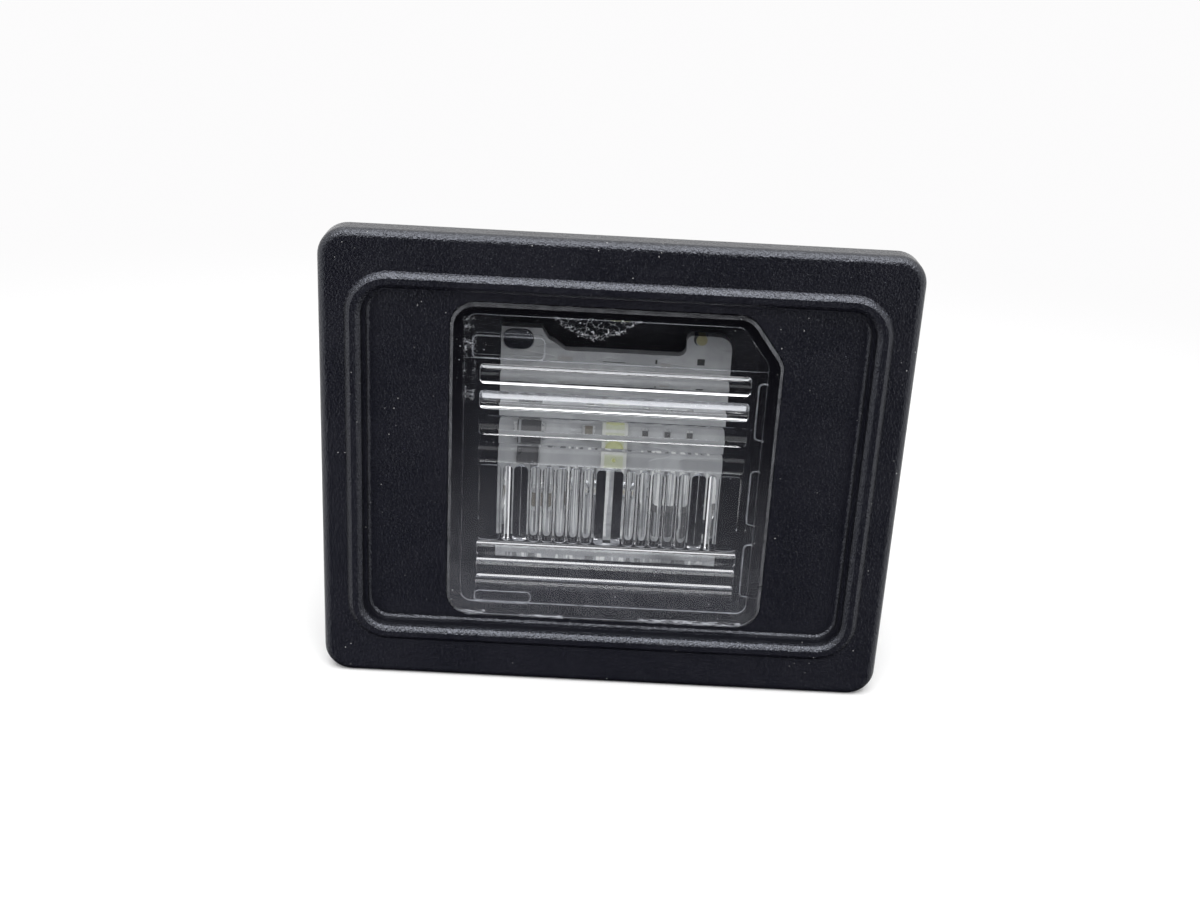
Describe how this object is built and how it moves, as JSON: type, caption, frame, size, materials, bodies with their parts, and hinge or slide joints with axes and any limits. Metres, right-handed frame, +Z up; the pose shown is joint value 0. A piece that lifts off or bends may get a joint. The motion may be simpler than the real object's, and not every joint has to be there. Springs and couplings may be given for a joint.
{
  "type": "number plate lamp",
  "caption": "Rectangular black LED number plate lamp with a raised frame, a clear fluted lens, a snap-in rear body, a foam seal, a steel clip and a rear connector socket.",
  "frame": {"origin": "middle of the flange's rear land, the plane that lies on the vehicle's panel", "axes": "+Z up and +X to the right as the lamp is seen from its lens side, +Y from the lens into the panel"},
  "size_m": [0.07, 0.0313, 0.0576],
  "materials": {
    "housing_plastic": "black moulded plastic with a fine leather-like grain, worn to a soft shine on the edges",
    "lens_plastic": "clear polished polycarbonate with fine scuffs",
    "seal_foam": "closed-cell black foam",
    "clip_steel": "cold-rolled spring steel",
    "board_laminate": "white solder mask on glass-fibre laminate",
    "led_ceramic": "satin white package",
    "led_phosphor": "yellow phosphor in clear silicone",
    "chip_epoxy": "black moulded epoxy",
    "capacitor_ceramic": "fired tan ceramic",
    "resistor_glaze": "black glaze with tinned ends",
    "terminal_tin": "tin-plated copper alloy",
    "solder": "bright solder",
    "vent_film": "white porous film"
  },
  "bodies": {
    "root": {"housing": "housing_plastic", "lens": "lens_plastic", "seal": "seal_foam", "spring_clip": "clip_steel", "circuit_board": "board_laminate", "led_package": "led_ceramic", "led_phosphor": "led_phosphor", "reverse_diode": "chip_epoxy", "driver_chip": "chip_epoxy", "surge_diode": "chip_epoxy", "input_capacitor": "capacitor_ceramic", "filter_capacitor": "capacitor_ceramic", "resistor_1": "resistor_glaze", "resistor_2": "resistor_glaze", "resistor_3": "resistor_glaze", "resistor_4": "resistor_glaze", "resistor_5": "resistor_glaze", "terminal_left": "terminal_tin", "terminal_right": "terminal_tin", "solder_left": "solder", "solder_right": "solder", "vent_membrane": "vent_film"}
  },
  "joints": []
}
